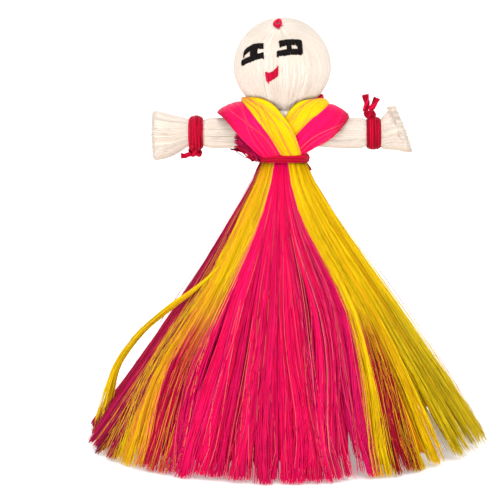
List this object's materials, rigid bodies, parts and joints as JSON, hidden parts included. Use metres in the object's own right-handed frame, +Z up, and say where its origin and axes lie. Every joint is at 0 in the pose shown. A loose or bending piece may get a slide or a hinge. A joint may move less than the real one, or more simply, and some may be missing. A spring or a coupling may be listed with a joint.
{
  "type": "tied fibre doll",
  "caption": "Standing doll of tied plant-fibre hanks with a stuffed ball head, bound arms, crossed sashes and a flared fibre skirt.",
  "frame": {"origin": "centre of the skirt's base, on the surface that the doll stands on", "axes": "+Z up, the doll's face looks along -Y, and its left-hand side in the front view is -X"},
  "size_m": [0.236, 0.2359, 0.2459],
  "materials": {
    "cream_fibre": "satin",
    "pink_fibre": "satin",
    "yellow_fibre": "satin",
    "wine_fibre": "satin",
    "binding_cord": "matte",
    "black_thread": "satin",
    "crimson_thread": "satin",
    "stuffing": "matte"
  },
  "bodies": {
    "skirt": {"skirt_front_pink_left": "pink_fibre", "skirt_front_pink_right": "pink_fibre", "skirt_right_yellow_inner": "yellow_fibre", "skirt_right_yellow_outer": "yellow_fibre", "skirt_right_side_wine": "wine_fibre", "skirt_back_right_yellow": "yellow_fibre", "skirt_back_pink_right": "pink_fibre", "skirt_back_pink_left": "pink_fibre", "skirt_back_left_yellow": "yellow_fibre", "skirt_left_side_wine": "wine_fibre", "skirt_left_wine": "wine_fibre", "skirt_left_yellow": "yellow_fibre", "skirt_core_hank": "wine_fibre"},
    "waist": {"waist_core_hank": "pink_fibre", "waist_binding": "binding_cord", "waist_knot": "binding_cord", "waist_cord_end_left": "binding_cord", "waist_cord_end_right": "binding_cord"},
    "torso": {"trunk_front_hank": "cream_fibre", "trunk_back_hank": "cream_fibre", "arm_bundle_core": "cream_fibre", "right_yellow_sash": "yellow_fibre", "right_pink_sash": "pink_fibre", "left_yellow_sash": "yellow_fibre", "left_pink_sash": "pink_fibre", "neck_binding": "binding_cord", "neck_knot": "binding_cord", "neck_cord_end": "binding_cord"},
    "neck_lower": {"neck_lower_hank": "cream_fibre"},
    "neck_upper": {"neck_upper_hank": "cream_fibre"},
    "head": {"head_stuffing_ball": "stuffing", "head_cover": "cream_fibre", "left_eye_upper_lid": "black_thread", "left_eye_lower_lid": "black_thread", "left_eye_pupil": "black_thread", "right_eye_upper_lid": "black_thread", "right_eye_lower_lid": "black_thread", "right_eye_pupil": "black_thread", "right_eye_corner": "black_thread", "mouth_stitches": "crimson_thread", "crown_knot": "crimson_thread"},
    "right_shoulder": {"right_shoulder_root": "cream_fibre"},
    "right_arm": {"right_arm_hank": "cream_fibre", "right_wrist_binding": "binding_cord", "right_wrist_knot": "binding_cord", "right_wrist_cord_end_outer": "binding_cord", "right_wrist_cord_end_inner": "binding_cord"},
    "left_shoulder": {"left_shoulder_root": "cream_fibre"},
    "left_arm": {"left_arm_hank": "cream_fibre", "left_wrist_binding": "binding_cord", "left_wrist_knot": "binding_cord", "left_wrist_cord_end": "binding_cord"}
  },
  "joints": [
    {"name": "waist_lean", "type": "hinge", "parent": "skirt", "child": "waist", "pos_m": [0, 0, 0.163], "axis": [1, 0, 0], "range_deg": [-8, 8]},
    {"name": "waist_sway", "type": "hinge", "parent": "waist", "child": "torso", "pos_m": [0, 0, 0.163], "axis": [0, 1, 0], "range_deg": [-8, 8]},
    {"name": "head_nod", "type": "hinge", "parent": "torso", "child": "neck_lower", "pos_m": [0, 0, 0.1904], "axis": [1, 0, 0], "range_deg": [-6, 6]},
    {"name": "head_tilt", "type": "hinge", "parent": "neck_lower", "child": "neck_upper", "pos_m": [0, 0, 0.1904], "axis": [0, 1, 0], "range_deg": [-6, 6]},
    {"name": "head_turn", "type": "hinge", "parent": "neck_upper", "child": "head", "pos_m": [0, 0, 0.1904], "axis": [0, 0, 1], "range_deg": [-40, 40]},
    {"name": "right_arm_swing", "type": "hinge", "parent": "torso", "child": "right_shoulder", "pos_m": [0.031, 0, 0.1785], "axis": [0, 0, -1], "range_deg": [-20, 20]},
    {"name": "right_arm_raise", "type": "hinge", "parent": "right_shoulder", "child": "right_arm", "pos_m": [0.031, 0, 0.1785], "axis": [0, -1, 0], "range_deg": [-35, 20]},
    {"name": "left_arm_swing", "type": "hinge", "parent": "torso", "child": "left_shoulder", "pos_m": [-0.031, 0, 0.1785], "axis": [0, 0, 1], "range_deg": [-20, 20]},
    {"name": "left_arm_raise", "type": "hinge", "parent": "left_shoulder", "child": "left_arm", "pos_m": [-0.031, 0, 0.1785], "axis": [0, 1, 0], "range_deg": [-35, 20]}
  ]
}
